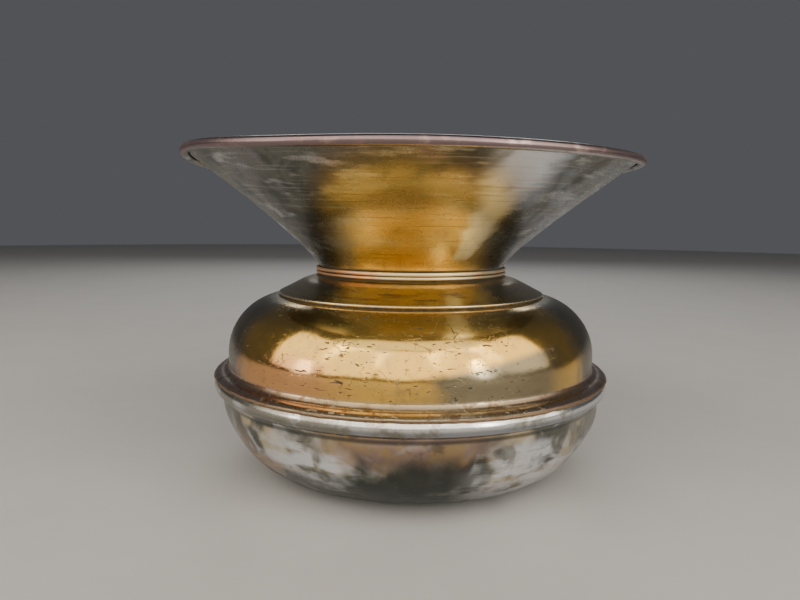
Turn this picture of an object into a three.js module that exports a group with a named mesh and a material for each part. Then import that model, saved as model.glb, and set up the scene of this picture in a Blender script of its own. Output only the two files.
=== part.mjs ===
// A sheet-brass spittoon: a pot of three soldered shells, and a flared mouth that lifts out of its neck.
// Millimetres, +Z up. The origin is the middle of the flat bottom, and every piece is round about Z.
import * as THREE from "three";

// Stock
const SHEET = 1.1; // thickness of every shell
const FILM = 0.3; // thickness of the solder in a lap
const SNUG = 0.05; // gap left between faces that touch
const LAP = SHEET + FILM + 2 * SNUG; // from one shell's outer face to the next one's, across a lap

// Bowl
const BOTTOM_RADIUS = 53; // flat that the pot stands on
const BOTTOM_PULL = 0.79; // share of the side's width that its curve still runs level
const SIDE_PULL = 0.22; // share of the side's height that its curve already runs upright
const SIDE_BAND = 2; // upright band at the top of the side
const BEAD_LEAD = 2.2; // stretch over which the band turns out into the bead
const BEAD_RADIUS = 4.4; // half-round bead swelled out at the bowl's top edge
const BEAD_STANDOUT = 4.3; // from the bowl's upright band out to the widest point
const BEAD_START = THREE.MathUtils.degToRad(-70);
const BEAD_END = THREE.MathUtils.degToRad(115);
const GIRTH_RADIUS = 101.8; // widest point of the bead
const GIRTH_Z = 46.6; // height of the bead's middle

// Dome
const BELLY_INSET = 7.2; // from the widest point in to the dome's upright wall
const BELLY_HEIGHT = 14.4; // from the bead's middle to where the wall turns into the shoulder
const SHOULDER_RADIUS = 28.5; // the round shoulder's profile
const FLARE_FILLET = 3; // hollow where the wall turns out over the bead
const FLARE_END = THREE.MathUtils.degToRad(40); // how far round the bead the flare reaches

// Collar
const SKIRT_INSET = 25.6; // from the dome's wall in to the cut edge that stands on the shoulder
const SKIRT_SLOPE = THREE.MathUtils.degToRad(27);
const CONE_SHARE = 0.56; // share of the way in to the throat that the skirt stays a plain cone
const LAP_SHARE = 0.61; // share of the plain cone that the dome runs up under
const COVE_RISE = 0.9; // how much of the full cone's rise the throat starts at
const COVE_PULL = { cone: 0.44, throat: 0.4 }; // shares of the cove that keep its two ends' lines
const THROAT_RADIUS = 48.5; // outside of the upright throat

// Neck
const RING_WIDTH = 1.5; // how far both half-round rings stand out
const RING_ROUND = 0.6; // share of that width that is rounded
const NECK_RING_HEIGHT = 1.6;
const SEAT_RING_HEIGHT = 1.8;
const PARTING = 0.3; // open joint between the two rings

// Mouth
const SPIGOT_PLAY = 0.4; // radial clearance of the spigot in the throat
const SPIGOT_LENGTH = 12;
const FLARE_HEIGHT = 51.4; // from the seat ring's top to the middle of the rim wire
const MOUTH_RADIUS = 115; // outside of the rolled rim
const FOOT_PULL = { r: 2.4, z: 8.2 }; // how far the flare keeps the foot's steep line
const RIM_PULL = 34; // how far the flare keeps the rim's slope
const RIM_SLOPE = THREE.MathUtils.degToRad(36.6); // the funnel's slope where it meets the rim
const RIM_WIRE_RADIUS = 1;
const RIM_TURN = THREE.MathUtils.degToRad(285); // how far the sheet goes round the wire

const SEGMENTS = 48; // sides of every round piece

// Levels and radii that follow from the sizes above
const GIRTH = { r: GIRTH_RADIUS - BEAD_RADIUS, z: GIRTH_Z };
const BOWL_RADIUS = GIRTH_RADIUS - BEAD_STANDOUT;
const BELLY_RADIUS = GIRTH_RADIUS - BELLY_INSET;
const SHOULDER = { r: BELLY_RADIUS - SHOULDER_RADIUS, z: GIRTH_Z + BELLY_HEIGHT };
const SKIRT_RADIUS = BELLY_RADIUS - SKIRT_INSET;
const DOME_EDGE_Z = SHOULDER.z + Math.sqrt(SHOULDER_RADIUS ** 2 - (SKIRT_RADIUS - SHOULDER.r) ** 2);
const SKIRT_Z = DOME_EDGE_Z + LAP / Math.cos(SKIRT_SLOPE);
const COLLAR_WIDTH = SKIRT_RADIUS - THROAT_RADIUS;
const CONE_WIDTH = CONE_SHARE * COLLAR_WIDTH;
const LAP_WIDTH = LAP_SHARE * CONE_WIDTH;
const NECK_RING_Z = SKIRT_Z + COVE_RISE * COLLAR_WIDTH * Math.tan(SKIRT_SLOPE);
const THROAT_Z = NECK_RING_Z + NECK_RING_HEIGHT;
const SEAT_Z = THROAT_Z + PARTING;
const FOOT_Z = SEAT_Z + SEAT_RING_HEIGHT;
const FOOT_RADIUS = THROAT_RADIUS; // the funnel comes down as wide as the throat that it stands over
const SPIGOT_RADIUS = THROAT_RADIUS - SHEET - SPIGOT_PLAY;
const CURL_RADIUS = RIM_WIRE_RADIUS + SNUG; // inside of the rolled rim
const RIM = { r: MOUTH_RADIUS - CURL_RADIUS - SHEET, z: FOOT_Z + FLARE_HEIGHT };

const point = (r, z) => new THREE.Vector2(r, z);

// Points on a circle's arc from one angle to another.
function arc(centre, radius, from, to, steps) {
  const points = [];
  for (let i = 0; i <= steps; i++) {
    const angle = from + ((to - from) * i) / steps;
    points.push(point(centre.r + radius * Math.cos(angle), centre.z + radius * Math.sin(angle)));
  }
  return points;
}

// Points on a cubic curve between two points, which leaves and arrives along the two handles.
const bend = (a, handleA, handleB, b, steps) =>
  new THREE.CubicBezierCurve(a, a.clone().add(handleA), b.clone().add(handleB), b).getPoints(steps);

// The same line moved sideways: to the right of the way it runs, by a distance.
function beside(line, distance) {
  return line.map((p, i) => {
    const before = line[Math.max(i - 1, 0)];
    const after = line[Math.min(i + 1, line.length - 1)];
    const a = p.clone().sub(before).normalize();
    const b = after.clone().sub(p).normalize();
    const along = a.clone().add(b).normalize();
    const stretch = 1 / Math.max(along.dot(i > 0 ? a : b), 0.5);
    return point(p.x + along.y * distance * stretch, p.y - along.x * distance * stretch);
  });
}

// A closed section turned round the Z axis.
function turned(section) {
  const ring = THREE.ShapeUtils.area(section) > 0 ? section : [...section].reverse();
  return new THREE.LatheGeometry([...ring, ring[0]], SEGMENTS).rotateX(Math.PI / 2);
}

// A shell of one thickness, from the line of one face and the side its metal lies on.
const shell = (face, thickness = SHEET) => turned([...face, ...beside(face, thickness).reverse()]);

// A half-round ring, from the two ends of its inner face.
function halfRound(lower, upper) {
  const middle = { r: (lower.x + upper.x) / 2, z: (lower.y + upper.y) / 2 };
  const half = (upper.y - lower.y) / 2;
  const outer = THROAT_RADIUS + RING_WIDTH;
  const flank = outer - RING_ROUND * RING_WIDTH; // where the ring's flat top and bottom start to round
  const round = arc({ r: 0, z: 0 }, 1, -Math.PI / 2, Math.PI / 2, 6);
  const nose = round.map((p) => point(flank + (outer - flank) * p.x, middle.z + half * p.y));
  return turned([lower, ...nose, upper]);
}

// Bowl: from the middle of the bottom, up the side, out into the half-round bead and back over its top.
function bowl() {
  const bottom = [point(0, 0), point(BOTTOM_RADIUS, 0)];
  const brow = point(BOWL_RADIUS, GIRTH.z - BEAD_RADIUS - BEAD_LEAD);
  const upright = point(BOWL_RADIUS, brow.y - SIDE_BAND);
  const level = point(BOTTOM_PULL * (BOWL_RADIUS - BOTTOM_RADIUS), 0);
  const side = bend(bottom[1], level, point(0, -SIDE_PULL * upright.y), upright, 8);
  const bead = arc(GIRTH, BEAD_RADIUS, BEAD_START, BEAD_END, 8);
  const face = [...bottom, ...side.slice(1), brow, ...bead];
  const inside = beside(face, -SHEET).reverse();
  const section = [...face, ...inside.slice(0, -1), point(0, SHEET)];
  return new THREE.LatheGeometry(section, SEGMENTS).rotateX(Math.PI / 2);
}

// Dome: from its turned-up mouth under the skirt, over the shoulder, down the wall, out over the bead.
function dome() {
  const mouth = point(SKIRT_RADIUS - LAP_WIDTH, DOME_EDGE_Z + LAP_WIDTH * Math.tan(SKIRT_SLOPE));
  const top = Math.acos((SKIRT_RADIUS - SHOULDER.r) / SHOULDER_RADIUS);
  const shoulder = arc(SHOULDER, SHOULDER_RADIUS, top, 0, 7);
  const flareRadius = BEAD_RADIUS + LAP;
  const fillet = { r: BELLY_RADIUS + FLARE_FILLET };
  fillet.z = GIRTH.z + Math.sqrt((flareRadius + FLARE_FILLET) ** 2 - (fillet.r - GIRTH.r) ** 2);
  const meet = Math.atan2(fillet.z - GIRTH.z, fillet.r - GIRTH.r);
  const hollow = arc(fillet, FLARE_FILLET, Math.PI, Math.PI + meet, 4);
  const flare = arc(GIRTH, flareRadius, meet, FLARE_END, 4);
  return shell([mouth, ...shoulder, ...hollow, ...flare.slice(1)]);
}

// The line of the collar's outer face, from the cut edge up the skirt and round into the throat.
function collarFace() {
  const edge = point(SKIRT_RADIUS, SKIRT_Z);
  const rise = Math.tan(SKIRT_SLOPE);
  const cone = point(SKIRT_RADIUS - CONE_WIDTH, SKIRT_Z + CONE_WIDTH * rise);
  const throat = point(THROAT_RADIUS, NECK_RING_Z);
  const onward = COVE_PULL.cone * (cone.x - throat.x);
  const drop = COVE_PULL.throat * (throat.y - cone.y);
  const cove = bend(cone, point(-onward, onward * rise), point(0, -drop), throat, 6);
  return [edge, ...cove, point(THROAT_RADIUS, THROAT_Z)];
}

// Collar solder: a film that follows the skirt's inner face across the lap.
function collarSolder() {
  const edge = point(SKIRT_RADIUS, SKIRT_Z);
  const inner = point(SKIRT_RADIUS - LAP_WIDTH, SKIRT_Z + LAP_WIDTH * Math.tan(SKIRT_SLOPE));
  return shell(beside([edge, inner], -(SHEET + SNUG)), -FILM);
}

// Girth solder: a film on the bead, from the flare's cut edge to the bead's top.
const girthSolder = () => shell(arc(GIRTH, BEAD_RADIUS + SNUG, FLARE_END, Math.PI / 2, 5), FILM);

// Neck ring: round the throat's top edge.
const neckRing = () =>
  halfRound(point(THROAT_RADIUS + SNUG, NECK_RING_Z + SNUG), point(THROAT_RADIUS + SNUG, THROAT_Z));

// Seat ring: in the step where the funnel's foot draws in to the spigot.
const seatRing = () =>
  halfRound(point(SPIGOT_RADIUS + SNUG, SEAT_Z), point(FOOT_RADIUS + SNUG, FOOT_Z));

// Funnel: from the spigot's lower end, out at the foot, up the trumpet, and round the rim wire.
function funnel() {
  const spigot = [point(SPIGOT_RADIUS, SEAT_Z - SPIGOT_LENGTH), point(SPIGOT_RADIUS, SEAT_Z)];
  const foot = point(FOOT_RADIUS, FOOT_Z);
  const over = Math.PI / 2 + RIM_SLOPE; // where the sheet first touches the wire
  const rim = point(RIM.r + CURL_RADIUS * Math.cos(over), RIM.z + CURL_RADIUS * Math.sin(over));
  const steep = point(FOOT_PULL.r, FOOT_PULL.z);
  const shallow = point(-RIM_PULL * Math.cos(RIM_SLOPE), -RIM_PULL * Math.sin(RIM_SLOPE));
  const trumpet = bend(foot, steep, shallow, rim, 9);
  const curl = arc(RIM, CURL_RADIUS, over, over - RIM_TURN, 10);
  return shell([...spigot, ...trumpet, ...curl.slice(1)], -SHEET);
}

// Rim wire: fills the rolled rim.
const rimWire = () => turned(arc(RIM, RIM_WIRE_RADIUS, 0, 2 * Math.PI, 8).slice(1));

const brass = { color: 0xb08d4c, roughness: 0.28, metalness: 1 };
const paleBrass = { color: 0xb9a67c, roughness: 0.25, metalness: 1 };
const wire = { color: 0x9a7b45, roughness: 0.45, metalness: 1 };
const solder = { color: 0x6f5a45, roughness: 0.55, metalness: 1 };

const PIECES = [
  ["funnel", funnel(), brass],
  ["rim_wire", rimWire(), wire],
  ["seat_ring", seatRing(), paleBrass],
  ["neck_ring", neckRing(), paleBrass],
  ["collar", shell(collarFace(), -SHEET), brass],
  ["collar_solder", collarSolder(), solder],
  ["dome", dome(), brass],
  ["girth_solder", girthSolder(), solder],
  ["bowl", bowl(), paleBrass],
];

const spittoon = new THREE.Group();
for (const [name, geometry, finish] of PIECES) {
  const mesh = new THREE.Mesh(geometry, new THREE.MeshStandardMaterial(finish));
  mesh.name = name;
  spittoon.add(mesh);
}

export default spittoon;
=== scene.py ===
"""An old brass spittoon: hammered sheet shells, two half-round rings, a wired rim and two soldered laps.

Lengths are in millimetres until a mesh is made, and in metres in the materials, the lights and the camera.
Angles round the pot are in degrees from the front (-Y) to +X.
"""
import math

import bmesh
import bpy
import numpy as np
from mathutils import Matrix, Vector

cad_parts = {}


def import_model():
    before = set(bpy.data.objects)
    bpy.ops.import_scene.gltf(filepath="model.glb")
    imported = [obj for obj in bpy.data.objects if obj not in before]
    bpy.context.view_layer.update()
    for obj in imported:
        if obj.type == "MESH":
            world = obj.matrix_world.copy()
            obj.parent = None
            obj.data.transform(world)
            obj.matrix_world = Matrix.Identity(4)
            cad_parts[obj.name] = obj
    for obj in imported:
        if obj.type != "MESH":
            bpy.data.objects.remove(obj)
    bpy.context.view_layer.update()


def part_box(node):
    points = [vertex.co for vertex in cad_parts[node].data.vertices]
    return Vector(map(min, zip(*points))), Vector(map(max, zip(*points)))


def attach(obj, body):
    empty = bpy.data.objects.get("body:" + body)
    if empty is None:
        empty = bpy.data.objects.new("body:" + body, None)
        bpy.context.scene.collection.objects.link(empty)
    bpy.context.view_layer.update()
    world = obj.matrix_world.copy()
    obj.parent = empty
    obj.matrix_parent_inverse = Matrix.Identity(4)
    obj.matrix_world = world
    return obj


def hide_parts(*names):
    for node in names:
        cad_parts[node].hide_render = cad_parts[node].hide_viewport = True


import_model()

MM = 0.001
DEG = math.pi / 180
X, Z = 0, 2


def low(node, axis):
    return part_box(node)[0][axis] / MM


def high(node, axis):
    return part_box(node)[1][axis] / MM


# ---------------------------------------------------------------- sizes that the frame doesn't give

SHEET = 1.1
SNUG = 0.05
FILM = 0.3
LAP = SHEET + FILM + 2 * SNUG
SPIGOT_PLAY = 0.4
BOTTOM = 53.0
BOTTOM_PULL = 35.0
SIDE_PULL = 8.4
SIDE_BAND = 2.0
BEAD = 4.4
BEAD_STANDOUT = 4.3
BEAD_LEAD = 2.2
BEAD_START = -70 * DEG
BEAD_END = 115 * DEG
BELLY_INSET = 7.2
BELLY_HEIGHT = 14.4
SHOULDER = 28.5
FILLET = 3.0
FLARE_END = 40 * DEG
SKIRT_SLOPE = 27 * DEG
CONE_WIDTH = 11.5
COVE_PULL = (4.0, 1.4)
LAP_WIDTH = 7.0
RING_WIDTH = 1.5
RING_ROUND = 0.6
FOOT_PULL = (2.4, 8.2)
RIM_SLOPE = 36.6 * DEG
RIM_PULL = 34.0
RIM_TURN = 285 * DEG
END_TURNS = (40 * DEG, 90 * DEG, 140 * DEG)  # the points round a sheet's cut edge
TURN_LENGTH = 3.0  # a bend of one radian gets as many mesh rows as this length of straight wall

# ---------------------------------------------------------------- sizes that it does

GIRTH_R = high("bowl", X) - BEAD
GIRTH_Z = high("bowl", Z) - BEAD
BOWL_R = GIRTH_R + BEAD - BEAD_STANDOUT
BELLY_R = GIRTH_R + BEAD - BELLY_INSET
SHOULDER_R = BELLY_R - SHOULDER
SHOULDER_Z = GIRTH_Z + BELLY_HEIGHT
SKIRT_R = high("collar", X)
DOME_EDGE_Z = SHOULDER_Z + math.sqrt(SHOULDER**2 - (SKIRT_R - SHOULDER_R) ** 2)
SKIRT_Z = DOME_EDGE_Z + LAP / math.cos(SKIRT_SLOPE)
THROAT_TOP = high("collar", Z)
RING_R = high("neck_ring", X)
NECK_RING_LOW = low("neck_ring", Z)
SEAT_LOW = low("seat_ring", Z)
SEAT_TOP = high("seat_ring", Z)
FOOT = RING_R - RING_WIDTH
SPIGOT = FOOT - SHEET - SPIGOT_PLAY
SPIGOT_LOW = low("funnel", Z)
WIRE = (high("rim_wire", Z) - low("rim_wire", Z)) / 2
RIM_R = high("rim_wire", X) - WIRE
RIM_Z = (high("rim_wire", Z) + low("rim_wire", Z)) / 2
CURL = high("funnel", X) - RIM_R - SHEET

# ---------------------------------------------------------------- outlines, as rows of (r, z)


def arc(centre, radius, start, end, steps):
    turn = np.linspace(start, end, steps + 1)
    return np.stack([centre[0] + radius * np.cos(turn), centre[1] + radius * np.sin(turn)], 1)


def bend(a, b, c, d, steps=60):
    """A cubic curve from a to d, which b and c pull on."""
    t = np.linspace(0, 1, steps + 1)[:, None]
    a, b, c, d = (np.array(p, float) for p in (a, b, c, d))
    return (1 - t) ** 3 * a + 3 * (1 - t) ** 2 * t * b + 3 * (1 - t) * t * t * c + t**3 * d


def join(*lines):
    """One line from several, without the points that they share."""
    points = np.vstack([np.atleast_2d(np.array(line, float)) for line in lines])
    gaps = np.hypot(*np.diff(points, axis=0).T)
    return points[np.concatenate([[True], gaps > 1e-3])]


def spaced(line, step):
    """The same line with its points about a step apart, and closer where it turns."""
    along = np.diff(line, axis=0)
    heading = np.unwrap(np.arctan2(along[:, 1], along[:, 0]))
    turning = np.concatenate([[0], np.abs(np.diff(heading)), [0]])
    share = np.hypot(*along.T) + TURN_LENGTH * (turning[:-1] + turning[1:]) / 2
    run = np.concatenate([[0], np.cumsum(share)])
    at = np.linspace(0, run[-1], max(round(run[-1] / step), 4) + 1)
    return np.stack([np.interp(at, run, line[:, 0]), np.interp(at, run, line[:, 1])], 1)


def outward(line, side):
    """Unit vectors across the line: to the right of the way it runs for side 1, to the left for -1."""
    along = np.gradient(line, axis=0)
    along /= np.linalg.norm(along, axis=1)[:, None]
    return np.stack([along[:, 1], -along[:, 0]], 1) * side


def sheet(face, side, wall=SHEET, step=1.0):
    """A closed section of even wall with rounded ends: its points, and which way a dent pushes each."""
    face = spaced(face, step)
    out = outward(face, side)
    back = face - out * wall
    points, push = [face], [out]
    for end, other in ((-1, -2), (0, 1)):
        middle = (face[end] + back[end]) / 2
        onward = face[end] - face[other]
        onward /= np.linalg.norm(onward)
        for turn in END_TURNS if end == -1 else END_TURNS[::-1]:
            nose = 0.5 * math.cos(turn) * out[end] + 0.25 * math.sin(turn) * onward
            points.append([middle + wall * nose])
            push.append([out[end]])
        if end == -1:
            points.append(back[::-1])
            push.append(out[::-1])
    return np.vstack(points), np.vstack(push)


def bowl_face():
    brow = GIRTH_Z - BEAD - BEAD_LEAD
    upright = (BOWL_R, brow - SIDE_BAND)
    side = bend((BOTTOM, 0), (BOTTOM + BOTTOM_PULL, 0), (BOWL_R, upright[1] - SIDE_PULL), upright)
    bead = arc((GIRTH_R, GIRTH_Z), BEAD, BEAD_START, BEAD_END, 60)
    return join([(0, 0)], side, [(BOWL_R, brow)], bead)


def dome_face():
    mouth = (SKIRT_R - LAP_WIDTH, DOME_EDGE_Z + LAP_WIDTH * math.tan(SKIRT_SLOPE))
    top = math.acos((SKIRT_R - SHOULDER_R) / SHOULDER)
    shoulder = arc((SHOULDER_R, SHOULDER_Z), SHOULDER, top, 0, 60)
    flare = BEAD + LAP
    hollow_r = BELLY_R + FILLET
    hollow_z = GIRTH_Z + math.sqrt((flare + FILLET) ** 2 - (hollow_r - GIRTH_R) ** 2)
    meet = math.atan2(hollow_z - GIRTH_Z, hollow_r - GIRTH_R)
    hollow = arc((hollow_r, hollow_z), FILLET, math.pi, math.pi + meet, 20)
    return join([mouth], shoulder, hollow, arc((GIRTH_R, GIRTH_Z), flare, meet, FLARE_END, 20))


def collar_face():
    rise = math.tan(SKIRT_SLOPE)
    cone = (SKIRT_R - CONE_WIDTH, SKIRT_Z + CONE_WIDTH * rise)
    onward, drop = COVE_PULL
    eased = (cone[0] - onward, cone[1] + onward * rise)
    cove = bend(cone, eased, (FOOT, NECK_RING_LOW - drop), (FOOT, NECK_RING_LOW))
    return join([(SKIRT_R, SKIRT_Z)], cove, [(FOOT, THROAT_TOP)])


def funnel_face():
    over = 90 * DEG + RIM_SLOPE
    rim = np.array([RIM_R + CURL * math.cos(over), RIM_Z + CURL * math.sin(over)])
    pull = RIM_PULL * np.array([math.cos(RIM_SLOPE), math.sin(RIM_SLOPE)])
    foot = np.array([FOOT, SEAT_TOP])
    trumpet = bend(foot, foot + FOOT_PULL, rim - pull, rim, 120)
    curl = arc((RIM_R, RIM_Z), CURL, over, over - RIM_TURN, 60)
    return join([(SPIGOT, SPIGOT_LOW), (SPIGOT, SEAT_LOW)], trumpet, curl)


def half_round(inner_low, inner_top):
    middle = (inner_low[1] + inner_top[1]) / 2
    half = (inner_top[1] - inner_low[1]) / 2
    turn = np.linspace(-90, 90, 17) * DEG
    flank = RING_R - RING_ROUND * RING_WIDTH
    nose = np.stack([flank + (RING_R - flank) * np.cos(turn), middle + half * np.sin(turn)], 1)
    points = join([inner_low], nose, [inner_top])
    return points, np.tile([1.0, 0.0], (len(points), 1))


# ---------------------------------------------------------------- the hand-made unevenness


def angle_of(points):
    return np.arctan2(points[:, 0], -points[:, 1])


def near(angle, turn):
    """How far each angle is from a turn in degrees, the short way round."""
    return (angle / DEG - turn + 180) % 360 - 180


def step_up(value, start, end):
    """0 before start, 1 after end, and smooth between."""
    t = np.clip((value - start) / (end - start), 0, 1)
    return t * t * (3 - 2 * t)


def waves(points, seed, length, count=14):
    """Smooth noise of about -1 to 1: a sum of waves of about one length in every direction."""
    rng = np.random.default_rng(seed)
    total = np.zeros(len(points))
    for _ in range(count):
        way = rng.normal(size=3)
        way *= 2 * math.pi / (length * rng.uniform(0.7, 1.5)) / np.linalg.norm(way)
        total += np.sin(points @ way + rng.uniform(0, 2 * math.pi))
    return total / math.sqrt(count / 2) / 1.6


def blows(points, seed, spacing):
    """Planished facets: each hammer blow leaves a shallow dish, with a low ridge where two dishes meet."""
    rng = np.random.default_rng(seed)
    centres = points[rng.permutation(len(points))[: len(points) // 8]]
    kept = []
    for centre in centres:
        if not kept or ((np.array(kept) - centre) ** 2).sum(1).min() > spacing**2:
            kept.append(centre)
    nearest = np.full(len(points), np.inf)
    for centre in kept:
        nearest = np.minimum(nearest, ((points - centre) ** 2).sum(1))
    return np.clip(nearest / spacing**2, 0, 1)


def dents(points, marks):
    """Hollows: each mark is (turn, height, width, depth)."""
    radius = np.hypot(points[:, 0], points[:, 1])
    total = np.zeros(len(points))
    for turn, height, width, depth in marks:
        round_way = near(angle_of(points), turn) * DEG * radius
        total -= depth * np.exp(-(round_way**2 + (points[:, 2] - height) ** 2) / width**2)
    return total


BOWL_DENTS = [(-48, 24, 9, 0.6), (-22, 15, 12, 0.6), (12, 20, 8, 0.4), (36, 27, 11, 0.6), (95, 20, 12, 0.7),
              (160, 24, 10, 0.6), (215, 18, 13, 0.7), (262, 28, 9, 0.5), (-75, 12, 10, 0.6)]
DOME_DENTS = [(-30, 78, 5, 0.16), (22, 70, 4, 0.12), (47, 66, 7, 0.2), (120, 74, 6, 0.3), (190, 66, 9, 0.3),
              (-118, 70, 5, 0.25), (-64, 62, 6, 0.2)]
RIM_BENDS = [(-66, 34, 4.1), (0, 25, 0.5), (82, 22, 1.0), (150, 35, -1.2), (205, 30, 1.2), (240, 18, -0.8)]


def hammered(points, name):
    """Height of a piece's surface above its true form."""
    if name == "bowl_shell":
        groove = GIRTH_Z - BEAD
        band = step_up(points[:, 2], 0, 3) * step_up(-points[:, 2], -groove, -(groove - 5))
        marks = 0.34 * blows(points, 11, 10.5) + 0.42 * waves(points, 12, 36) + 0.12 * waves(points, 13, 15)
        return (marks + dents(points, BOWL_DENTS)) * band
    if name == "dome_shell":
        band = step_up(points[:, 2], 54, 60) * step_up(-points[:, 2], -88, -80)
        marks = 0.12 * waves(points, 21, 42) + 0.04 * waves(points, 22, 15) + 0.035 * blows(points, 23, 9)
        return (marks + dents(points, DOME_DENTS)) * band
    if name == "collar_cone":
        radius = np.hypot(points[:, 0], points[:, 1])
        band = step_up(-radius, -(SKIRT_R - 1), -(SKIRT_R - 8)) * step_up(radius, 50, 53)
        return 0.07 * waves(points, 31, 26) * band
    return np.zeros(len(points))


def ragged(points):
    """Lets the flare's cut edge wander down and back up over the bead, round the bead's own middle."""
    angle = angle_of(points)
    radius = np.hypot(points[:, 0], points[:, 1])
    across, above = radius - GIRTH_R, points[:, 2] - GIRTH_Z
    on_bead = (np.hypot(across, above) < BEAD + LAP + 0.3) & (above > 0)
    share = np.where(on_bead, step_up(-np.arctan2(above, across), -62 * DEG, -FLARE_END), 0)
    ring = np.stack([np.sin(angle), np.cos(angle), 0 * angle], 1) * GIRTH_R
    turn = (0.05 * waves(ring, 41, 60) + 0.035 * waves(ring, 42, 17) + 0.02 * waves(ring, 43, 6)) * share
    new_across = across * np.cos(turn) + above * np.sin(turn)
    new_above = above * np.cos(turn) - across * np.sin(turn)
    moved = points.copy()
    moved[:, :2] *= ((GIRTH_R + new_across) / np.maximum(radius, 1e-6))[:, None]
    moved[:, 2] = GIRTH_Z + new_above
    return moved


def settled(points, push, mouth):
    """Moves a piece's points as use left them. Both bodies share what moves the neck, so the mouth fits."""
    radius = np.hypot(points[:, 0], points[:, 1])
    angle = angle_of(points)
    out = np.stack([np.sin(angle), -np.cos(angle), 0 * angle], 1)
    oval = 0.14 * np.cos(2 * angle + 0.6) + 0.08 * np.cos(3 * angle + 2.0)
    moved = points + out * (oval * np.clip(radius / 50, 0, 1))[:, None]
    if mouth:
        share = step_up(points[:, 2], SEAT_TOP, RIM_Z)
        for turn, width, height in RIM_BENDS:
            moved[:, 2] += height * np.exp(-((near(angle, turn) / width) ** 2)) * share
        moved += out * (0.5 * waves(points, 3, 90) * share)[:, None]
        swell = (0.22 * waves(points, 5, 46) + 0.05 * waves(points, 6, 21)) * share**0.5 * (1 - share**4)
        moved += push * swell[:, None]
        return moved
    sag = step_up(-points[:, 2], -(GIRTH_Z - BEAD), 0) * step_up(points[:, 2], 0, 6)
    moved[:, 0] += 1.2 * sag * np.clip(radius / BOWL_R, 0, 1)
    return moved


# ---------------------------------------------------------------- meshes


def revolve(name, section, material, turns=432, mouth=False, closed=True):
    """A body of revolution with the unevenness in it. An open section starts and ends on the axis."""
    points, push = section
    count = len(points)
    turn = np.arange(turns) / turns * 2 * math.pi
    way = np.stack([np.sin(turn), -np.cos(turn)], 1)

    def swept(flat):
        around = np.empty((turns, count, 3))
        around[..., :2] = way[:, None] * flat[None, :, :1]
        around[..., 2] = flat[:, 1]
        return around.reshape(-1, 3)

    at, out = swept(points), swept(push)
    at = at + out * hammered(at, name)[:, None]
    if name in ("dome_shell", "girth_seam"):
        at = ragged(at)
    at = settled(at, out, mouth) * MM
    faces = []
    for i in range(turns):
        row, following = i * count, (i + 1) % turns * count
        for k in range(count if closed else count - 1):
            m = (k + 1) % count
            faces.append((row + k, following + k, following + m, row + m))
    mesh = bpy.data.meshes.new(name)
    mesh.from_pydata(at.tolist(), [], faces)
    tidy(mesh)
    mesh.materials.append(material)
    piece = bpy.data.objects.new(name, mesh)
    bpy.context.scene.collection.objects.link(piece)
    return piece


def tidy(mesh):
    """Joins the points on the axis, faces everything outward and shades it smooth."""
    work = bmesh.new()
    work.from_mesh(mesh)
    bmesh.ops.remove_doubles(work, verts=work.verts, dist=1e-7)
    if work.calc_volume(signed=True) < 0:
        bmesh.ops.reverse_faces(work, faces=work.faces)
    for face in work.faces:
        face.smooth = True
    work.to_mesh(mesh)
    work.free()


# ---------------------------------------------------------------- materials


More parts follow.
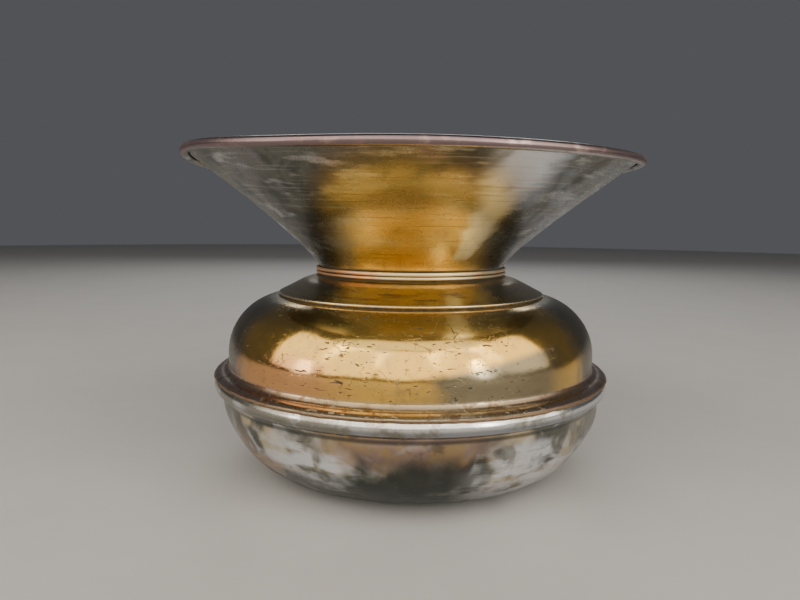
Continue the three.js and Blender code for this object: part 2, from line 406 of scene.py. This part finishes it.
class Coat:
    """One metal's node tree, painted in layers: each layer covers what is under it where its mask is 1."""

    def __init__(self, name, colour, roughness):
        self.material = bpy.data.materials.new(name)
        self.material.use_nodes = True
        self.nodes = self.material.node_tree.nodes
        self.links = self.material.node_tree.links
        self.shader = self.nodes["Principled BSDF"]
        self.colour, self.roughness, self.metal, self.height = colour, roughness, 1.0, 0.0
        place = self.nodes.new("ShaderNodeTexCoord").outputs["Object"]
        self.place = place
        split = self.nodes.new("ShaderNodeSeparateXYZ")
        self.links.new(place, split.inputs[0])
        x, y, self.z = split.outputs
        squared = self.add(self.times(x, x), self.times(y, y))
        self.r = self.math("POWER", self.math("MAXIMUM", squared, 1e-8), 0.5)
        self.front = self.math("DIVIDE", self.times(y, -1), self.r)
        self.side = self.math("DIVIDE", x, self.r)

    def math(self, operation, a, b=0.0):
        node = self.nodes.new("ShaderNodeMath")
        node.operation = operation
        for value, socket in zip((a, b), node.inputs):
            self.feed(value, socket)
        return node.outputs[0]

    def add(self, a, b):
        return self.math("ADD", a, b)

    def less(self, a, b):
        return self.math("SUBTRACT", a, b)

    def times(self, a, b):
        return self.math("MULTIPLY", a, b)

    def apart(self, a, b):
        return self.math("ABSOLUTE", self.less(a, b))

    def feed(self, value, socket):
        if isinstance(value, bpy.types.NodeSocket):
            self.links.new(value, socket)
        elif isinstance(value, tuple):
            socket.default_value = (*value, 1)
        else:
            socket.default_value = value

    def rise(self, value, start, end):
        """A mask: 0 where the value is start, 1 where it is end, smooth between. Start may be above end."""
        node = self.nodes.new("ShaderNodeMapRange")
        node.interpolation_type = "SMOOTHSTEP"
        flipped = start > end
        for name, number in zip(("From Min", "From Max"), sorted((start, end))):
            node.inputs[name].default_value = number
        node.inputs["To Min"].default_value = float(flipped)
        node.inputs["To Max"].default_value = float(not flipped)
        self.feed(value, node.inputs["Value"])
        return node.outputs["Result"]

    def both(self, *masks):
        total = masks[0]
        for mask in masks[1:]:
            total = self.times(total, mask)
        return total

    def vector(self, x, y, z):
        node = self.nodes.new("ShaderNodeCombineXYZ")
        for value, socket in zip((x, y, z), node.inputs):
            self.feed(value, socket)
        return node.outputs[0]

    def noise(self, size, detail=4.0, roughness=0.55, distortion=0.0, shift=0.0, at=None):
        """Noise of about 0.2 to 0.8 whose blotches are about one size across, in millimetres."""
        node = self.nodes.new("ShaderNodeTexNoise")
        node.noise_dimensions = "4D"
        node.inputs["W"].default_value = shift
        node.inputs["Scale"].default_value = 1 / (size * MM)
        node.inputs["Detail"].default_value = detail
        node.inputs["Roughness"].default_value = roughness
        node.inputs["Distortion"].default_value = distortion
        self.links.new(at or self.place, node.inputs["Vector"])
        return node.outputs["Fac"]

    def around(self, along, across, detail=3.0, shift=0.0, level=None):
        """Streaks that run round the axis: so long, and so wide up the wall, in millimetres."""
        level = level or self.z
        at = self.vector(
            self.times(self.side, 100 / along),
            self.times(self.front, 100 / along),
            self.math("DIVIDE", level, across * MM),
        )
        return self.noise(1000, detail, 0.6, 0.0, shift, at)

    def mixed(self, mask, under, over):
        node = self.nodes.new("ShaderNodeMix")
        if isinstance(over, tuple):
            node.data_type = "RGBA"
            sockets, result = (node.inputs[0], node.inputs[6], node.inputs[7]), node.outputs[2]
        else:
            sockets, result = (node.inputs[0], node.inputs[2], node.inputs[3]), node.outputs[0]
        for value, socket in zip((mask, under, over), sockets):
            self.feed(value, socket)
        return result

    def lay(self, mask, colour=None, roughness=None, metal=None, strength=1.0):
        if strength != 1.0:
            mask = self.times(mask, strength)
        if colour:
            self.colour = self.mixed(mask, self.colour, colour)
        if roughness is not None:
            self.roughness = self.mixed(mask, self.roughness, roughness)
        if metal is not None:
            self.metal = self.mixed(mask, self.metal, metal)

    def raise_by(self, value, depth):
        """Adds to the surface's height, in millimetres per unit of the value."""
        self.height = self.add(self.height, self.times(value, depth))

    def hairs(self, size, shift, share):
        """Fine curved scratches: the middle lines of a bent noise, broken up by a coarser one."""
        line = self.noise(size, 1.0, 0.4, 0.9, shift)
        thin = self.rise(self.apart(line, 0.5), share, share * 0.3)
        return self.both(thin, self.rise(self.noise(size * 1.7, 2.0, 0.6, 0.0, shift + 3), 0.56, 0.64))

    def nicks(self, length, width, shift):
        """Short straight nicks that lie round the wall."""
        return self.rise(self.around(length, width, 1.5, shift), 0.645, 0.69)

    def pits(self, size, shift, patch=None):
        grains = self.rise(self.noise(size, 2.0, 0.5, 0.4, shift), 0.70, 0.76)
        return self.both(grains, patch) if patch else grains

    def finish(self, grain_direction=None):
        self.feed(self.colour, self.shader.inputs["Base Color"])
        self.feed(self.roughness, self.shader.inputs["Roughness"])
        self.feed(self.metal, self.shader.inputs["Metallic"])
        bump = self.nodes.new("ShaderNodeBump")
        bump.inputs["Strength"].default_value = 1.0
        bump.inputs["Distance"].default_value = MM
        self.feed(self.height, bump.inputs["Height"])
        self.links.new(bump.outputs["Normal"], self.shader.inputs["Normal"])
        if grain_direction is not None:
            tangent = self.nodes.new("ShaderNodeTangent")
            tangent.direction_type = "RADIAL"
            tangent.axis = "Z"
            self.shader.inputs["Anisotropic"].default_value = grain_direction
            self.links.new(tangent.outputs["Tangent"], self.shader.inputs["Tangent"])
        return self.material


GOLD = (0.69, 0.46, 0.12)
OLD_GOLD = (0.54, 0.44, 0.25)
PALE_GOLD = (0.86, 0.52, 0.12)
CREAM = (0.90, 0.74, 0.46)
AMBER = (0.54, 0.37, 0.12)
OLIVE = (0.40, 0.29, 0.09)
COPPER = (0.66, 0.31, 0.15)
ROSE = (0.46, 0.31, 0.26)
DUSK = (0.22, 0.155, 0.16)
UMBER = (0.17, 0.10, 0.05)
TARNISH = (0.22, 0.20, 0.14)
SLATE = (0.06, 0.068, 0.062)
PEWTER = (0.42, 0.42, 0.38)
IRON_GREY = (0.17, 0.17, 0.145)
STEEL = (0.24, 0.26, 0.31)
COOL = (0.36, 0.39, 0.44)
SILVER = (0.84, 0.84, 0.82)
BRIGHT = (0.93, 0.95, 0.98)
MAUVE = (0.30, 0.24, 0.27)
NEAR_BLACK = (0.04, 0.03, 0.02)
SPELTER = (0.34, 0.24, 0.15)


def everywhere(coat, seed):
    """What every old surface has: blotches of tarnish, fine scratches, and a face that isn't quite flat."""
    blotch = coat.noise(16, 5, 0.6, 0.5, seed)
    coat.lay(coat.rise(blotch, 0.55, 0.75), TARNISH, 0.34, strength=0.45)
    hair = coat.hairs(5, seed + 1, 0.012)
    coat.lay(hair, UMBER, 0.4, strength=0.35)
    coat.raise_by(coat.noise(5, 3, 0.5, 0.2, seed + 2), 0.035)
    coat.raise_by(coat.noise(0.9, 2, 0.5, 0.0, seed + 3), 0.002)
    coat.lay(coat.rise(coat.noise(2.2, 3, 0.6, 0.0, seed + 4), 0.4, 0.8), None, 0.32, strength=0.4)


def mouth_brass():
    coat = Coat("mouth_brass", IRON_GREY, 0.27)
    wide = coat.noise(42, 3, 0.55, 0.6, 1.0)
    drift = coat.times(coat.less(wide, 0.5), 0.35)
    smear = coat.around(34, 7, 4, 2.0, coat.r)
    # grey tarnish, clouded and wiped
    coat.lay(coat.rise(coat.noise(22, 5, 0.62, 0.7, 3.0), 0.46, 0.60), SLATE, 0.33, strength=0.75)
    coat.lay(coat.rise(coat.noise(26, 3, 0.5, 0.5, 4.0), 0.52, 0.68), MAUVE, strength=0.5)
    coat.lay(coat.rise(smear, 0.53, 0.66), SILVER, 0.24, strength=0.45)
    # painted highlight: cool blue-grey on the right side of the funnel
    cool_highlight = coat.both(coat.rise(coat.side, 0.25, 0.5), coat.rise(wide, 0.62, 0.44))
    coat.lay(cool_highlight, COOL, 0.24, strength=0.6)
    coat.lay(coat.rise(smear, 0.46, 0.32), TARNISH, 0.32, strength=0.6)
    # painted reflection: gold in front, which narrows upward
    narrowing = coat.times(coat.less(coat.z, 0.112), 8.5)
    front_reflection = coat.less(coat.add(coat.front, drift), narrowing)
    coat.lay(coat.rise(front_reflection, 0.67, 0.82), OLD_GOLD, 0.24, strength=0.85)
    coat.lay(coat.both(coat.rise(front_reflection, 0.69, 0.82), coat.rise(smear, 0.46, 0.60)), PEWTER, strength=0.5)
    coat.lay(coat.both(coat.rise(front_reflection, 0.77, 0.88), coat.rise(wide, 0.38, 0.6)), AMBER, strength=0.7)
    # gold patches behind, and a painted reflection in gold at the front of the foot
    far_patch = coat.rise(coat.noise(50, 2, 0.5, 0.4, 7.0), 0.46, 0.62)
    coat.lay(coat.both(coat.rise(coat.front, 0.2, -0.3), far_patch), GOLD, 0.24, strength=0.7)
    foot = coat.both(coat.rise(coat.z, 0.118, 0.104), coat.rise(coat.front, 0.5, 0.8))
    coat.lay(foot, GOLD, 0.25, strength=0.6)
    # painted highlight: the bright streak on the right, which widens upward
    reach = coat.add(coat.times(coat.less(coat.z, 0.110), 2.4), 0.08)
    beside = coat.apart(coat.side, 0.43)
    share = coat.math("DIVIDE", beside, coat.math("MAXIMUM", reach, 0.005))
    highlight_smear = coat.add(share, coat.times(smear, 1.5))
    there = coat.both(coat.rise(coat.front, 0.0, 0.3), coat.rise(coat.z, 0.108, 0.113))
    coat.lay(coat.both(coat.rise(highlight_smear, 1.85, 1.05), there), BRIGHT, 0.34, strength=0.9)
    # brush marks round the wall
    streak = coat.around(50, 1.3, 4, 5.0, coat.r)
    coat.lay(coat.rise(streak, 0.52, 0.70), UMBER, 0.34, strength=0.35)
    coat.lay(coat.rise(streak, 0.46, 0.30), SILVER, strength=0.22)
    coat.raise_by(streak, 0.02)
    # the rolled rim: rose-brown with dusky blotches outside, partly tarnish and partly painted shade; a
    # painted highlight along its lower edge; and a dark line just above the seat ring
    rim_outside = coat.rise(coat.r, (RIM_R + 0.2) * MM, (RIM_R + 1.4) * MM)
    coat.lay(rim_outside, ROSE, 0.3, strength=0.8)
    coat.lay(coat.both(rim_outside, coat.rise(coat.noise(9, 3, 0.6, 0, 9.0), 0.30, 0.46)), DUSK, strength=0.9)
    lower_rim = coat.rise(coat.z, (RIM_Z - 0.9) * MM, (RIM_Z - 1.7) * MM)
    coat.lay(coat.both(lower_rim, coat.rise(coat.r, 0.113, 0.1145)), SILVER, 0.2, strength=0.75)
    coat.lay(coat.rise(coat.z, (SEAT_TOP + 1.1) * MM, (SEAT_TOP + 0.2) * MM), NEAR_BLACK, 0.6, 0.3, strength=0.85)
    everywhere(coat, 10.0)
    return coat.finish(0.65)


def wire_brass():
    coat = Coat("wire_brass", GOLD, 0.4)
    coat.lay(coat.rise(coat.noise(6, 3, 0.6, 0.3, 1.0), 0.4, 0.7), UMBER, 0.5, strength=0.6)
    everywhere(coat, 20.0)
    return coat.finish()


def ring_brass():
    coat = Coat("ring_brass", CREAM, 0.42)
    coat.metal = 0.75
    # painted highlight: the rings stay pale cream in front and are tarnished towards the sides and back
    coat.lay(coat.rise(coat.front, 0.93, 0.7), TARNISH, 0.34, strength=0.55)
    coat.lay(coat.rise(coat.noise(9, 4, 0.6, 0.4, 2.0), 0.52, 0.66), COPPER, 0.32, strength=0.6)
    browned = coat.add(coat.side, coat.times(coat.noise(7, 3, 0.6, 0.3, 6.0), 0.5))
    coat.lay(coat.rise(browned, 0.05, -0.25), COPPER, 0.36, strength=0.75)
    coat.lay(coat.pits(1.4, 4.0), UMBER, 0.5, 0.5, strength=0.8)
    # dark lines at the rings' edges, where they meet the next part
    for level, spread in ((NECK_RING_LOW, 0.3), (THROAT_TOP, 0.2), (SEAT_TOP, 0.35)):
        away = coat.apart(coat.z, level * MM)
        coat.lay(coat.rise(away, spread * MM, 0), NEAR_BLACK, 0.6, 0.3, strength=0.9)
    everywhere(coat, 30.0)
    return coat.finish()


def collar_brass():
    coat = Coat("collar_brass", GOLD, 0.2)
    lit_front = coat.add(coat.front, coat.times(coat.noise(20, 3, 0.6, 0.5, 1.0), 0.25))
    coat.lay(coat.rise(coat.around(26, 2.4, 4, 2.0, coat.r), 0.5, 0.62), UMBER, 0.32, strength=0.65)
    coat.lay(coat.rise(coat.noise(11, 4, 0.6, 0.6, 3.0), 0.5, 0.66), AMBER, strength=0.6)
    # painted shade: tarnished towards the sides, gold only in front
    coat.lay(coat.rise(lit_front, 1.02, 0.86), TARNISH, 0.3, strength=0.85)
    # painted highlight: a cream line along the skirt's edge
    edge = coat.rise(coat.r, (SKIRT_R - 0.7) * MM, (SKIRT_R - 0.2) * MM)
    coat.lay(edge, CREAM, 0.26, strength=0.9)
    # a dark line round the collar's foot, against the neck ring
    coat.lay(coat.rise(coat.r, 0.0508, 0.0495), NEAR_BLACK, 0.6, 0.3, strength=0.8)
    everywhere(coat, 40.0)
    return coat.finish()


def dome_brass():
    coat = Coat("dome_brass", PALE_GOLD, 0.12)
    drift = coat.times(coat.less(coat.noise(24, 3, 0.55, 0.5, 1.0), 0.5), 0.5)
    lit = coat.add(coat.front, drift)
    coat.lay(coat.rise(coat.noise(18, 4, 0.6, 0.6, 2.0), 0.5, 0.66), GOLD, strength=0.55)
    # olive on top, copper low on the left, a painted dark reflection low on the right, and painted shade
    # towards the sides
    coat.lay(coat.rise(coat.z, 0.077, 0.086), OLIVE, 0.18, strength=0.8)
    low = coat.rise(coat.add(coat.z, coat.times(drift, 0.04)), 0.073, 0.064)
    coat.lay(coat.both(coat.rise(coat.side, -0.15, -0.5), low), COPPER, strength=0.75)
    dark_reflection_low_right = coat.both(
        coat.rise(coat.add(coat.side, drift), 0.02, 0.16),
        coat.rise(coat.less(coat.z, coat.times(coat.side, 0.016)), 0.066, 0.062),
    )
    coat.lay(coat.both(dark_reflection_low_right, coat.rise(coat.side, 0.78, 0.6)), TARNISH, 0.2, strength=0.9)
    coat.lay(coat.rise(lit, 0.74, 0.5), TARNISH, 0.27, strength=0.75)
    coat.lay(coat.rise(lit, 0.66, 0.46), SLATE, 0.32, strength=0.6)
    coat.lay(coat.rise(coat.noise(9, 5, 0.7, 0.8, 3.0), 0.52, 0.7), UMBER, 0.3, strength=0.25)
    # gold patches behind
    far_patch = coat.rise(coat.noise(34, 3, 0.5, 0.5, 7.0), 0.45, 0.6)
    coat.lay(coat.both(coat.rise(coat.front, 0.2, -0.2), far_patch), GOLD, 0.2, strength=0.6)
    # scratches and pits, most of them in front
    facing = coat.times(coat.rise(coat.front, 0.80, 0.98), 0.24)
    struck = coat.rise(coat.add(coat.noise(26, 2, 0.5, 0, 5.0), facing), 0.48, 0.66)
    nicks = [coat.nicks(7, 1.3, 4.0), coat.nicks(3, 1.0, 14.0)]
    hairs = [coat.hairs(9, 24.0, 0.016), coat.hairs(5, 27.0, 0.02)]
    for mark in nicks + hairs:
        nick = coat.both(mark, struck)
        coat.lay(nick, NEAR_BLACK, 0.5, 0.5, strength=0.9)
        coat.raise_by(nick, -0.03)
    pits = coat.pits(1.7, 6.0, struck)
    coat.lay(pits, UMBER, 0.5, 0.6, strength=0.9)
    coat.raise_by(pits, -0.03)
    # the flare over the bead with a painted highlight in gold at its front, the hollow above it, its cut
    # edge, and a dark line in the collar's seam
    flare = coat.rise(coat.z, (GIRTH_Z + 9.5) * MM, (GIRTH_Z + 7.8) * MM)
    coat.lay(flare, PEWTER, 0.3, strength=0.5)
    coat.lay(flare, ROSE, strength=0.5)
    coat.lay(coat.both(flare, coat.rise(coat.front, 0.7, 0.95)), OLD_GOLD, 0.24, strength=0.6)
    stained = coat.rise(coat.noise(6, 5, 0.7, 0.6, 8.0), 0.50, 0.62)
    coat.lay(coat.both(flare, stained), UMBER, 0.4, strength=0.75)
    hollow = coat.apart(coat.z, (GIRTH_Z + 7.2) * MM)
    coat.lay(coat.rise(hollow, 1.2 * MM, 0.2 * MM), UMBER, 0.4, strength=0.55)
    cut = coat.rise(coat.z, (GIRTH_Z + 4.5) * MM, (GIRTH_Z + 3.9) * MM)
    coat.lay(cut, UMBER, 0.5, 0.6, strength=0.9)
    seam = coat.rise(coat.r, (SKIRT_R + 1.0) * MM, (SKIRT_R + 0.1) * MM)
    coat.lay(seam, NEAR_BLACK, 0.6, 0.3, strength=0.9)
    everywhere(coat, 50.0)
    return coat.finish()


def bowl_brass():
    coat = Coat("bowl_brass", IRON_GREY, 0.15)
    coat.lay(coat.rise(coat.noise(30, 2, 0.5, 0.5, 1.0), 0.46, 0.56), CREAM, 0.17, strength=0.7)
    coat.lay(coat.rise(coat.noise(34, 2, 0.5, 0.5, 2.0), 0.50, 0.60), COPPER, 0.2, strength=0.4)
    drift = coat.times(coat.less(coat.noise(20, 3, 0.5, 0.3, 4.0), 0.5), 0.4)
    marks = coat.noise(15, 2, 0.45, 0.9, 9.0)
    under = coat.add(coat.less(0.030, coat.z), coat.times(drift, 0.05))
    # hammer marks as painted highlights and painted shade in blotches
    coat.lay(coat.rise(marks, 0.50, 0.68), SILVER, strength=0.6)
    coat.lay(coat.rise(marks, 0.47, 0.32), SLATE, strength=0.35)
    # warm under the bead, painted shade at the sides, and a painted dark reflection low in front
    upper = coat.both(coat.rise(under, 0.004, -0.006), coat.rise(coat.front, 0.90, 0.98))
    coat.lay(upper, ROSE, 0.2, strength=0.7)
    coat.lay(coat.both(upper, coat.rise(coat.noise(12, 3, 0.5, 0.5, 6.0), 0.42, 0.6)), AMBER, strength=0.6)
    coat.lay(coat.rise(coat.add(coat.front, drift), 0.72, 0.42), TARNISH, 0.26, strength=0.75)
    dark_reflection = coat.both(coat.rise(under, -0.010, 0.004), coat.rise(coat.add(coat.front, drift), 0.90, 0.96))
    coat.lay(dark_reflection, SLATE, 0.2, strength=0.9)
    # two painted highlights: bright patches that stand for reflections
    highlight_smear = coat.rise(coat.around(24, 6, 4, 7.0), 0.36, 0.56)
    shift = coat.add(coat.times(drift, 1.2), coat.times(coat.less(marks, 0.5), 0.6))
    for middle, half in ((-0.50, 0.24), (0.48, 0.22)):
        beside = coat.apart(coat.add(coat.side, shift), middle)
        shone = coat.both(coat.rise(beside, half, half * 0.3), coat.rise(under, -0.010, -0.002))
        coat.lay(coat.both(shone, highlight_smear, coat.rise(coat.front, 0.3, 0.6)), BRIGHT, 0.12, strength=0.95)
    coat.lay(coat.rise(coat.noise(13, 3, 0.55, 0.3, 3.0), 0.56, 0.66), SLATE, 0.24, strength=0.5)
    # painted dark reflection: darker towards the bottom
    coat.lay(coat.rise(under, 0.006, 0.020), SLATE, 0.3, strength=0.9)
    # painted highlight: a bright blue-white gleam low on the right
    facing = coat.rise(coat.front, 0.3, 0.6)
    gleam = coat.both(coat.rise(coat.side, 0.16, 0.5), coat.rise(under, 0.0, 0.007))
    coat.lay(coat.both(gleam, facing, highlight_smear), BRIGHT, 0.18, strength=0.6)
    # pits, the groove under the bead, and the bead: a painted highlight along its top, a painted dark
    # reflection along its lower half, and tarnish in blotches, more on the left
    specks = coat.pits(2.0, 5.0)
    coat.lay(specks, UMBER, 0.5, 0.5, strength=0.7)
    coat.raise_by(specks, -0.02)
    groove = coat.apart(coat.z, (GIRTH_Z - BEAD - 1.8) * MM)
    coat.lay(coat.rise(groove, 1.6 * MM, 0.3 * MM), SLATE, 0.3, strength=0.7)
    bead = coat.rise(coat.z, (GIRTH_Z - BEAD) * MM, (GIRTH_Z - BEAD + 1.6) * MM)
    coat.lay(bead, SILVER, 0.18, strength=0.8)
    middle = coat.rise(coat.z, (GIRTH_Z + 0.2) * MM, (GIRTH_Z - 1.6) * MM)
    coat.lay(coat.both(bead, middle), STEEL, 0.22, strength=0.75)
    dulled = coat.less(coat.noise(14, 4, 0.6, 0.5, 8.0), coat.times(coat.side, 0.16))
    coat.lay(coat.both(bead, coat.rise(dulled, 0.44, 0.60)), TARNISH, 0.28, strength=0.75)
    everywhere(coat, 60.0)
    return coat.finish()


def spelter():
    coat = Coat("spelter", SPELTER, 0.45)
    coat.lay(coat.rise(coat.noise(2.5, 4, 0.65, 0.5, 1.0), 0.42, 0.6), NEAR_BLACK, 0.6, 0.5, strength=0.7)
    coat.raise_by(coat.noise(1.2, 3, 0.6, 0.3, 2.0), 0.08)
    return coat.finish()


# ---------------------------------------------------------------- pieces


def place(piece, node, body, slot):
    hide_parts(node)
    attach(piece, body)


def build_mouth(ring):
    funnel = revolve("funnel_shell", sheet(funnel_face(), 1, step=1.35), mouth_brass(), mouth=True)
    place(funnel, "funnel", "mouth", "mouth_brass")
    circle = arc((RIM_R, RIM_Z), WIRE, 0, 2 * math.pi, 16)[:-1]
    still = np.zeros((len(circle), 2))
    wire = revolve("rim_wire_hoop", (circle, still), wire_brass(), 240, mouth=True)
    place(wire, "rim_wire", "mouth", "wire_brass")
    seat = half_round((SPIGOT + SNUG, SEAT_LOW), (FOOT + SNUG, SEAT_TOP))
    place(revolve("seat_ring_band", seat, ring), "seat_ring", "mouth", "ring_brass")


def build_bowl():
    face = spaced(bowl_face(), 1.35)
    out = outward(face, 1)
    out[0] = (0, -1)
    inside = face - out * SHEET
    section = np.vstack([face, inside[::-1]]), np.vstack([out, out[::-1]])
    place(revolve("bowl_shell", section, bowl_brass(), closed=False), "bowl", "pot", "bowl_brass")


def build_seams():
    solder = spelter()
    film = arc((GIRTH_R, GIRTH_Z), BEAD + SNUG + FILM, FLARE_END - 3 * DEG, 90 * DEG, 40)
    place(revolve("girth_seam", sheet(film, 1, FILM, 0.3), solder), "girth_solder", "pot", "spelter")
    edge = np.array([SKIRT_R, SKIRT_Z])
    inner = edge + LAP_WIDTH * np.array([-1, math.tan(SKIRT_SLOPE)])
    under = (SHEET + SNUG) * np.array([math.sin(SKIRT_SLOPE), math.cos(SKIRT_SLOPE)])
    line = np.array([inner, edge]) - under
    place(revolve("collar_seam", sheet(line, -1, FILM, 0.5), solder), "collar_solder", "pot", "spelter")


def build_pot(ring):
    neck = half_round((FOOT + SNUG, NECK_RING_LOW + SNUG), (FOOT + SNUG, THROAT_TOP))
    place(revolve("neck_ring_band", neck, ring), "neck_ring", "pot", "ring_brass")
    collar = revolve("collar_cone", sheet(collar_face(), 1, step=0.8), collar_brass())
    place(collar, "collar", "pot", "collar_brass")
    dome = revolve("dome_shell", sheet(dome_face(), -1, step=1.0), dome_brass())
    place(dome, "dome", "pot", "dome_brass")
    build_bowl()
    build_seams()


ring_metal = ring_brass()
build_mouth(ring_metal)
build_pot(ring_metal)

# ---------------------------------------------------------------- stage, light and camera, in metres


ARC = (-70, -35, 0, 35, 70)
WARM = (1, 0.92, 0.80)
LIGHTS = [  # name, angle round the pot, distance, height, width, tall, watts
    ("overhead", 0, 0.62, 1.25, 1.9, 0.5, 4.5),
    ("window", 41, 1.0, 0.32, 0.14, 0.5, 1.8),
    ("low_left", -62, 0.9, 0.20, 0.16, 0.3, 0.5),
    ("behind", 180, 1.3, 0.9, 1.1, 0.5, 6),
]
FLOOR = (0.44, 0.43, 0.415)
FLOOR_CLOUD = (0.48, 0.47, 0.455)
SKY = (0.09, 0.092, 0.10, 1)
EYE = (0, -0.3486, 0.1282)
LENS = 29.52


def softbox(name, azimuth, distance, height, width, tall, power, colour=(1, 1, 1)):
    """A soft panel that faces the pot, at an angle round it from the front. The camera doesn't see it."""
    light = bpy.data.lights.new(name, "AREA")
    light.shape = "RECTANGLE"
    light.size, light.size_y, light.energy, light.color = width, tall, power, colour
    lamp = bpy.data.objects.new(name, light)
    lamp.location = (distance * math.sin(azimuth * DEG), -distance * math.cos(azimuth * DEG), height)
    lamp.rotation_euler = (Vector((0, 0, 0.08)) - lamp.location).to_track_quat("-Z", "Y").to_euler()
    lamp.visible_camera = False
    bpy.context.scene.collection.objects.link(lamp)


def floor():
    bpy.ops.mesh.primitive_circle_add(vertices=96, radius=3.0, fill_type="NGON", location=(0, 0, 0))
    disc = bpy.context.object
    disc.name = "floor"
    coat = Coat("floor", FLOOR, 0.9)
    coat.metal = 0.0
    coat.lay(coat.rise(coat.noise(60, 4, 0.6, 0.3, 1.0), 0.3, 0.7), FLOOR_CLOUD, strength=0.5)
    disc.data.materials.append(coat.finish())


def world():
    sky = bpy.data.worlds.new("studio")
    sky.use_nodes = True
    sky.node_tree.nodes["Background"].inputs["Color"].default_value = SKY
    sky.node_tree.nodes["Background"].inputs["Strength"].default_value = 1.0
    bpy.context.scene.world = sky


def camera():
    data = bpy.data.cameras.new("camera")
    data.sensor_width = 36
    data.lens = LENS
    data.clip_start = 0.01
    eye = bpy.data.objects.new("camera", data)
    tilt, yaw, roll = 6.98 * DEG, -0.911 * DEG, -0.607 * DEG
    ahead = Vector((math.sin(yaw) * math.cos(tilt), math.cos(yaw) * math.cos(tilt), -math.sin(tilt)))
    right = ahead.cross(Vector((0, 0, 1))).normalized()
    up = right.cross(ahead)
    across = right * math.cos(roll) - up * math.sin(roll)
    upward = right * math.sin(roll) + up * math.cos(roll)
    eye.matrix_world = Matrix((across, upward, -ahead)).transposed().to_4x4()
    eye.location = EYE
    bpy.context.scene.collection.objects.link(eye)
    bpy.context.scene.camera = eye


floor()
world()
camera()
for number, azimuth in enumerate(ARC):
    softbox(f"arc_{number}", azimuth, 1.2, 0.66, 0.82, 1.18, 6.5, WARM)
for light_row in LIGHTS:
    softbox(*light_row)
